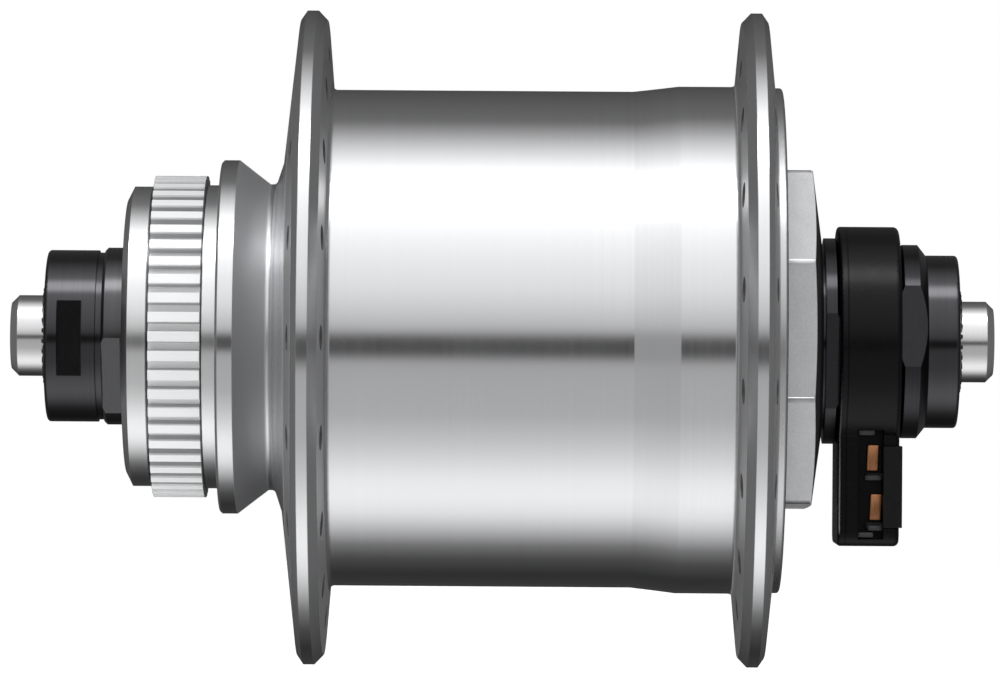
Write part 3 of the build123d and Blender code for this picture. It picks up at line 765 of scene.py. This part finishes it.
def facing(direction: Sequence[float]) -> Callable[[bmesh.types.BMFace], bool]:
    """Test for faces whose normal points one way."""
    wanted = Vector(direction).normalized()
    return lambda face: face.normal.dot(wanted) > FACING_LIMIT


def new_block(size: Sequence[float]) -> bpy.types.Object:
    """Block of a size in millimetres at the origin, left in edit mode."""
    deselect_all()
    bpy.ops.mesh.primitive_cube_add(size=1.0, location=(0, 0, 0))
    piece = bpy.context.object
    edit(piece)
    bpy.ops.transform.resize(value=[length * MM for length in size])
    return piece


def round_edges(radius: float, segments: int = 2) -> None:
    """Round all edges of the piece in edit mode, by a radius in millimetres."""
    bpy.ops.mesh.select_all(action="SELECT")
    bpy.ops.mesh.bevel(offset=radius * MM, segments=segments, affect="EDGES")


def move_all(way: Sequence[float]) -> None:
    """Move the whole piece in edit mode, by a way in millimetres."""
    bpy.ops.mesh.select_all(action="SELECT")
    bpy.ops.transform.translate(value=[part * MM for part in way])


def close_up(piece: bpy.types.Object) -> None:
    """Merge doubles, turn the faces outwards and leave edit mode."""
    edit(piece)
    bpy.ops.mesh.remove_doubles(threshold=MERGE_DISTANCE * MM)
    bpy.ops.mesh.normals_make_consistent(inside=False)
    bpy.ops.object.mode_set(mode="OBJECT")


def copies_round(piece: bpy.types.Object, count: int, first: float = 0.0) -> bpy.types.Object:
    """Repeat a piece round the axle and join the copies.

    Args:
        piece: The piece that is repeated and then removed.
        count: How many copies there are.
        first: Where the first one goes, in radians.

    Returns:
        The joined piece.
    """
    deselect_all()
    made = []
    for number in range(count):
        mesh = piece.data.copy()
        mesh.transform(Matrix.Rotation(first + number * math.tau / count, 4, "Y"))
        copy = bpy.data.objects.new(piece.name, mesh)
        bpy.context.scene.collection.objects.link(copy)
        copy.select_set(True)
        made.append(copy)
    bpy.data.objects.remove(piece)
    bpy.context.view_layer.objects.active = made[0]
    bpy.ops.object.join()
    return bpy.context.object


def ring_of(profile: Sequence[tuple[float, float]]) -> bpy.types.Object:
    """Turn a small closed profile about the axle.

    Args:
        profile: Its corners as radius and place, in millimetres.

    Returns:
        The ring, in object mode.
    """
    piece = profile_at(profile)
    spin(RING_STEPS, 1)
    close_up(piece)
    return piece


def spin(steps: int, turns: int) -> None:
    """Turn the profile in edit mode about the axle."""
    angle = math.tau * turns
    bpy.ops.mesh.spin(steps=steps, angle=angle, center=(0, 0, 0), axis=(0, 1, 0))


def profile_at(profile: Sequence[tuple[float, float]]) -> bpy.types.Object:
    """A circle primitive whose corners are moved to a profile, left in edit mode."""
    deselect_all()
    bpy.ops.mesh.primitive_circle_add(vertices=len(profile), radius=MM, location=(0, 0, 0))
    piece = bpy.context.object
    for vertex, (radius, place) in zip(piece.data.vertices, profile):
        vertex.co = Vector((0.0, place, radius)) * MM
    edit(piece)
    return piece


@dataclass(frozen=True)
class Piece:
    """A finished new piece with what it rides on and looks like."""

    name: str
    body: Body
    slot: str
    finish: Finish
    smooth_angle: float = 30.0

    def settle(self, made: bpy.types.Object, replaced: str | None = None) -> None:
        """Name, smooth, paint and mount a piece.

        Args:
            made: The modelled object, at the origin.
            replaced: The node that it stands for, if any.
        """
        deselect_all()
        made.name = self.name
        made.data.name = self.name
        bpy.context.view_layer.objects.active = made
        made.select_set(True)
        bpy.ops.object.shade_smooth_by_angle(angle=math.radians(self.smooth_angle))
        made.data.materials.clear()
        made.data.materials.append(self.finish.material(self.name))
        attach(made, self.body.value)
        if replaced:
            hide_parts(replaced)
        made.select_set(False)
        faces = len(made.data.polygons)
        LOG.info("piece %s: %d faces on %s", self.name, faces, self.body.value)


# Sub-assemblies


@dataclass
class SubAssembly:
    """A group of nodes with their finishes and the pieces that dress them."""

    finishes: ClassVar[dict[str, Finish]] = {}

    def paint(self, nodes: dict[str, bpy.types.Object]) -> None:
        """Give each node its finish."""
        for name, finish in self.finishes.items():
            node = nodes[name]
            node.data.materials.clear()
            node.data.materials.append(finish.material(name))
            LOG.info("node %s: %s", name, type(finish).__name__)

    def build(self) -> None:
        """Make the new pieces; a group without any makes none."""


@dataclass
class AxleNuts(SubAssembly):
    """Axle with its locknuts, washer and cones, and the teeth on the locknut faces."""

    finishes: ClassVar[dict[str, Finish]] = {
        "axle": AXLE_METAL,
        "left_locknut": BLACK_STEEL,
        "left_washer": BLACK_STEEL,
        "left_cone": DARK_CONE,
        "right_cone": NUT_STEEL,
        "right_nut": NUT_STEEL,
        "right_locknut": BLACK_STEEL,
    }

    tooth_count: int = 30
    tooth_inner: float = 4.62
    tooth_outer: float = 5.7
    tooth_width: float = 0.7
    tooth_height: float = 0.42
    crest_width_share: float = 0.5
    crest_length_share: float = 0.85
    locknut_face: float = 50.0

    def build(self) -> None:
        """Cut teeth into the outer face of each locknut."""
        for name, side in (("left_locknut", Side.DISC), ("right_locknut", Side.CONNECTOR)):
            teeth = self._teeth(side)
            Piece(f"{name}_teeth", Body.AXLE, name, TOOTH_STEEL).settle(teeth)

    def _teeth(self, side: Side) -> bpy.types.Object:
        """One tapered radial tooth, repeated round the face.

        Args:
            side: The end of the hub.

        Returns:
            The ring of teeth.
        """
        length = self.tooth_outer - self.tooth_inner
        tooth = new_block((self.tooth_width, self.tooth_height, length))
        select_faces(tooth, facing((0, side.value, 0)))
        bpy.ops.transform.resize(value=(self.crest_width_share, 1, self.crest_length_share))
        select_faces(tooth, facing((0, 0, -1)))
        bpy.ops.transform.resize(value=(self.tooth_inner / self.tooth_outer, 1, 1))
        place = side.value * (self.locknut_face + self.tooth_height / 2)
        move_all((0, place, (self.tooth_outer + self.tooth_inner) / 2))
        close_up(tooth)
        return copies_round(tooth, self.tooth_count)


@dataclass
class HubShell(SubAssembly):
    """Shell and splined disc mount, with the lockring thread in the nose."""

    finishes: ClassVar[dict[str, Finish]] = {
        "hub_shell": SHELL_METAL,
        "disc_mount": SPLINE_METAL,
        "end_cap_seal": RING_RUBBER,
    }

    thread_radius: float = 14.52
    thread_depth: float = 0.34
    thread_pitch: float = 1.0
    thread_start: float = 37.5
    thread_turns: int = 3
    foot_share: float = 0.42
    crest_share: float = 0.084
    steps_per_turn: int = 96

    def build(self) -> None:
        """Model the helical thread in the nose."""
        foot = self.thread_pitch * self.foot_share
        crest = self.thread_pitch * self.crest_share
        inner = self.thread_radius - self.thread_depth
        profile = [
            (self.thread_radius, self.thread_start - foot),
            (inner, self.thread_start - crest),
            (inner, self.thread_start + crest),
            (self.thread_radius, self.thread_start + foot),
        ]
        thread = profile_at(profile)
        steps = self.steps_per_turn * self.thread_turns
        spin(steps, self.thread_turns)
        bpy.ops.object.mode_set(mode="OBJECT")
        rise = self.thread_pitch * self.thread_turns * MM / steps
        for vertex in thread.data.vertices:
            vertex.co.y += rise * (vertex.index // len(profile))
        edit(thread)
        bpy.ops.mesh.fill_holes(sides=len(profile))
        close_up(thread)
        Piece("lockring_thread", Body.SHELL, "disc_mount", EDGE_METAL).settle(thread)


@dataclass
class EndCap(SubAssembly):
    """End cap with the polished corners of its octagon.

    The first corner's angle is in degrees, from +Z towards +X.
    """

    finishes: ClassVar[dict[str, Finish]] = {"end_cap": CAP_METAL}

    corner_count: int = 8
    first_corner: float = 71.0
    corner_radius: float = 19.645
    strip_width: float = 1.0
    strip_thickness: float = 0.5
    strip_start: float = -30.62
    strip_end: float = -33.72
    strip_sink: float = 0.245
    strip_rounding: float = 0.02
    strip_smooth_angle: float = 20.0
    top_width_share: float = 0.5
    top_length_share: float = 0.99

    def build(self) -> None:
        """Model one chamfered corner and repeat it."""
        length = self.strip_start - self.strip_end
        strip = new_block((self.strip_width, length, self.strip_thickness))
        select_faces(strip, facing((0, 0, 1)))
        bpy.ops.transform.resize(value=(self.top_width_share, self.top_length_share, 1))
        round_edges(self.strip_rounding)
        middle = (self.strip_start + self.strip_end) / 2
        move_all((0, middle, self.corner_radius - self.strip_sink))
        close_up(strip)
        corners = copies_round(strip, self.corner_count, math.radians(self.first_corner))
        angle = self.strip_smooth_angle
        Piece("octagon_corners", Body.SHELL, "end_cap", CORNER_METAL, angle).settle(corners)


@dataclass
class Bearings(SubAssembly):
    """Balls, cages, cups and seals, with the lip of the seal that shows."""

    finishes: ClassVar[dict[str, Finish]] = {
        "left_bearing_cup": RACE_STEEL,
        "right_bearing_cup": RACE_STEEL,
        "left_balls": BALL_STEEL,
        "right_balls": BALL_STEEL,
        "left_ball_cage": PRESSED_STEEL,
        "right_ball_cage": PRESSED_STEEL,
        "left_dust_seal": SEAL_RUBBER,
        "right_dust_seal": SEAL_RUBBER,
    }

    lip_profile: tuple[tuple[float, float], ...] = (
        (10.75, 36.95),
        (10.55, 37.25),
        (10.0, 37.75),
        (9.88, 37.72),
        (10.1, 37.1),
        (10.15, 36.95),
    )
    lip_smooth_angle: float = 50.0

    def build(self) -> None:
        """Model the lip of the disc side's seal."""
        lip = ring_of(self.lip_profile)
        angle = self.lip_smooth_angle
        Piece("left_seal_lip", Body.SHELL, "left_dust_seal", SEAL_RUBBER, angle).settle(lip)


@dataclass
class Generator(SubAssembly):
    """Magnets and flux ring that turn round the claw poles and the coil."""

    finishes: ClassVar[dict[str, Finish]] = {
        "flux_ring": RAW_IRON,
        "magnets": MAGNET_STONE,
        "left_claw_yoke": RAW_IRON,
        "right_claw_yoke": RAW_IRON,
        "stator_core": RAW_IRON,
        "stator_nut": RACE_STEEL,
        "coil_bobbin": BOBBIN_NYLON,
        "coil_winding": COIL_COPPER,
        "lead_wire": WIRE_SLEEVE,
    }


@dataclass(frozen=True)
class Ledge:
    """A small ledge in the connector's channel, in millimetres.

    It runs from start to end along the axle. Its height and front are the places of its
    middle and its face. The face slopes back by the setback at its top, or at its foot
    where that is negative.
    """

    name: str
    start: float
    end: float
    height: float
    front: float
    setback: float


@dataclass
class Connector(SubAssembly):
    """Moulded connector with its two copper contacts."""

    finishes: ClassVar[dict[str, Finish]] = {
        "connector_plate": PLATE_PLASTIC,
        "connector_housing": BLACK_PLASTIC,
        "terminal_holder": HOLDER_PLASTIC,
        "upper_terminal": STRIP_COPPER,
        "lower_terminal": STRIP_COPPER,
    }

    pad_thickness: float = 0.6
    pad_rounding: float = 0.16
    pad_segments: int = 4
    pad_slant: float = 0.13
    leg_width: float = 0.9
    leg_thickness: float = 0.5
    leg_inset: float = 0.02
    ledge_thickness: float = 0.55
    ledge_back: float = -4.6
    ledge_rounding: float = 0.06
    ledge_length_share: float = 0.97
    ledges: tuple[Ledge, ...] = (
        Ledge("upper_sill", -39.0, -40.8, -9.98, -7.12, -0.34),
        Ledge("upper_lip", -39.75, -41.55, -14.9, -6.7, 0.2),
        Ledge("lower_lip", -40.1, -41.7, -20.4, -6.7, 0.2),
        Ledge("lower_sill", -39.0, -40.7, -21.15, -6.9, 0.2),
    )

    def build(self) -> None:
        """Model both contacts over their plain nodes, and the ledges round them."""
        for node in ("upper_terminal", "lower_terminal"):
            contact = self._contact(*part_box(node))
            name = node.replace("terminal", "contact")
            Piece(name, Body.AXLE, node, STRIP_COPPER).settle(contact, node)
        for ledge in self.ledges:
            made = self._ledge(ledge)
            Piece(ledge.name, Body.AXLE, "connector_housing", LEDGE_HIGHLIGHT_PLASTIC).settle(made)

    def _ledge(self, ledge: Ledge) -> bpy.types.Object:
        """Block with one sloping face and rounded edges.

        Args:
            ledge: The ledge's places.

        Returns:
            The modelled ledge.
        """
        depth = self.ledge_back - ledge.front
        setback = abs(ledge.setback)
        made = new_block((depth, ledge.start - ledge.end, self.ledge_thickness))
        select_faces(made, facing((0, 0, ledge.setback)))
        bpy.ops.transform.resize(value=(1 - setback / depth, self.ledge_length_share, 1))
        bpy.ops.transform.translate(value=(setback / 2 * MM, 0, 0))
        round_edges(self.ledge_rounding)
        front = (ledge.front + self.ledge_back) / 2
        move_all((front, (ledge.start + ledge.end) / 2, ledge.height))
        close_up(made)
        return made

    def _contact(self, low: Vector, high: Vector) -> bpy.types.Object:
        """Slanting rounded pad with a leg behind it.

        Args:
            low: Lowest corner of the plain contact, in metres.
            high: Its highest corner.

        Returns:
            The modelled contact.
        """
        low, high = low / MM, high / MM
        width = high.y - low.y - self.pad_slant
        height = high.z - low.z
        pad = new_block((self.pad_thickness, width, height))
        for side in (1, -1):
            select_faces(pad, facing((0, 0, side)))
            bpy.ops.transform.translate(value=(0, -side * self.pad_slant / 2 * MM, 0))
        round_edges(self.pad_rounding, self.pad_segments)
        select_faces(pad, facing((1, 0, 0)))
        bpy.ops.mesh.inset(thickness=self.leg_inset * MM)
        shrink = (1, self.leg_width / width, self.leg_thickness / height)
        bpy.ops.transform.resize(value=shrink)
        reach = (high.x - low.x - self.pad_thickness) * MM
        bpy.ops.mesh.extrude_region_move(TRANSFORM_OT_translate={"value": (reach, 0, 0)})
        middle = (low + high) / 2
        move_all((low.x + self.pad_thickness / 2, middle.y, middle.z))
        close_up(pad)
        return pad


# Studio


@dataclass
class Studio:
    """Camera, soft light, floor and white background.

    The roll is in degrees and the lamp's power in watts. The bands are the levels of light
    round the axle by angle in degrees: 0 ahead, 90 above, -90 below and 180 behind.
    """

    distance: float = 795.0
    camera_side: float = -3.94
    aim_side: float = 0.25
    aim_height: float = 0.25
    view_width: float = 110.19
    roll: float = 0.4
    sensor_width: float = 36.0
    floor_drop: float = 150.0
    floor_half: float = 4000.0
    lamp_place: tuple[float, float, float] = (-420.0, 160.0, 620.0)
    lamp_size: float = 500.0
    lamp_power: float = 1.6
    nearest: float = 10.0
    farthest: float = 50000.0
    floor_greys: tuple[float, float] = (0.84, 0.88)
    floor_cloud_scale: float = 3.0
    floor_roughness: float = 0.9
    floor_glow: float = 0.55
    side_level: float = 0.14
    side_step: Step = (0.05, 0.9)
    gap_fill: float = 0.36
    gap_step: Step = (0.11, 0.2)
    ahead_step: Step = (0.0, -0.5)
    bands: Stops = (
        (-180, 0.05), (-140, 0.03), (-123, 0.07), (-111, 0.18), (-100, 0.5), (-88, 0.88),
        (-78, 1.0), (-68, 0.95), (-50, 0.64), (-36, 0.46), (-11, 0.42), (-7, 0.05),
        (0, 0.05), (4, 0.5), (10, 0.62), (22, 0.82), (38, 0.96), (60, 1.2),
        (65, 4.2), (75, 4.2), (82, 1.2), (90, 0.98), (98, 0.72), (109, 0.38),
        (120, 0.15), (145, 0.1), (180, 0.05),
    )

    def build(self) -> None:
        """Set up the whole studio."""
        self._camera()
        self._world()
        self._floor()
        self._lamp()
        bpy.context.scene.view_settings.view_transform = "Standard"

    def _camera(self) -> None:
        """Camera square to the axle, at the height of the axle, with a slight roll."""
        data = bpy.data.cameras.new("camera")
        data.sensor_width = self.sensor_width
        data.lens = self.sensor_width * self.distance / self.view_width
        data.clip_start = self.nearest * MM
        data.clip_end = self.farthest * MM
        camera = bpy.data.objects.new("camera", data)
        bpy.context.scene.collection.objects.link(camera)
        place = Vector((-self.distance, self.camera_side, self.aim_height)) * MM
        aim = Vector((0.0, self.aim_side, self.aim_height)) * MM
        forward = (aim - place).normalized()
        roll = math.radians(self.roll)
        up = Vector((0.0, math.sin(roll), math.cos(roll)))
        right = forward.cross(up).normalized()
        up = right.cross(forward)
        axes = Matrix((right, up, -forward)).transposed().to_4x4()
        camera.matrix_world = Matrix.Translation(place) @ axes
        bpy.context.scene.camera = camera

    def _world(self) -> None:
        """Soft bands of light round the axle, and a white background for the camera."""
        world = bpy.data.worlds.new("studio")
        world.use_nodes = True
        bpy.context.scene.world = world
        graph = Graph(world.node_tree)
        direction = graph.node("ShaderNodeTexCoord", output="Generated")
        split = graph.node("ShaderNodeSeparateXYZ", inputs={0: direction}, output="X")
        lift = split.output("Z").maths("ARCTAN2", split * -1.0)
        turns = lift / math.tau + 0.5
        front = graph.node("ShaderNodeValToRGB", {"stops": self._stops()}, {0: turns})
        across = split.output("Y").maths("ABSOLUTE")
        ahead = graph.between(split, *self.ahead_step)
        fill = self.gap_fill * graph.between(across, *self.gap_step) * ahead
        front = front.maths("MAXIMUM", fill)
        aside = graph.between(across, *self.side_step)
        light = graph.mix(aside, front, grey(self.side_level))
        seen = graph.node("ShaderNodeLightPath", output="Is Camera Ray")
        colour = graph.mix(seen, light, grey(1.0))
        background = graph.node("ShaderNodeBackground", inputs={"Color": colour})
        graph.finish("ShaderNodeOutputWorld", {"Surface": background})

    def _stops(self) -> list[tuple[float, float]]:
        """The bands as stops of a ramp, with places from 0 to 1."""
        return [(angle / 360 + 0.5, level) for angle, level in self.bands]

    def _floor(self) -> None:
        """Pale floor well below the hub, which only keeps its shadow."""
        deselect_all()
        size = 2 * self.floor_half * MM
        bpy.ops.mesh.primitive_plane_add(size=size, location=(0, 0, -self.floor_drop * MM))
        floor = bpy.context.object
        floor.name = "floor"
        floor.visible_glossy = False
        made = bpy.data.materials.new("floor")
        made.use_nodes = True
        graph = Graph(made.node_tree)
        cloud = graph.noise(Place(graph).point, self.floor_cloud_scale)
        dark, light = self.floor_greys
        surface = graph.node(
            "ShaderNodeBsdfPrincipled",
            inputs={
                "Base Color": graph.mix(cloud, grey(dark), grey(light)),
                "Roughness": self.floor_roughness,
                "Emission Color": grey(1.0),
                "Emission Strength": self.floor_glow,
            },
        )
        graph.finish("ShaderNodeOutputMaterial", {"Surface": surface})
        floor.data.materials.append(made)

    def _lamp(self) -> None:
        """Large soft lamp above the camera, for gentle shading and the floor's shadow."""
        data = bpy.data.lights.new("soft_lamp", "AREA")
        data.size = self.lamp_size * MM
        data.energy = self.lamp_power
        lamp = bpy.data.objects.new("soft_lamp", data)
        bpy.context.scene.collection.objects.link(lamp)
        place = Vector(self.lamp_place) * MM
        turn = (-place).to_track_quat("-Z", "Y").to_matrix().to_4x4()
        lamp.matrix_world = Matrix.Translation(place) @ turn
        lamp.visible_glossy = False


def main() -> None:
    """Load the frame, dress every sub-assembly and set up the studio."""
    logging.basicConfig(level=logging.INFO, format="%(name)s: %(message)s")
    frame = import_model()
    groups = (AxleNuts(), HubShell(), EndCap(), Bearings(), Generator(), Connector())
    for group in groups:
        group.paint(frame["nodes"])
        group.build()
        LOG.info("built %s", type(group).__name__)
    unpainted = set(frame["nodes"]) - {name for group in groups for name in group.finishes}
    if unpainted:
        LOG.warning("nodes without a finish: %s", sorted(unpainted))
    Studio().build()
    deselect_all()


if __name__ == "__main__":
    main()
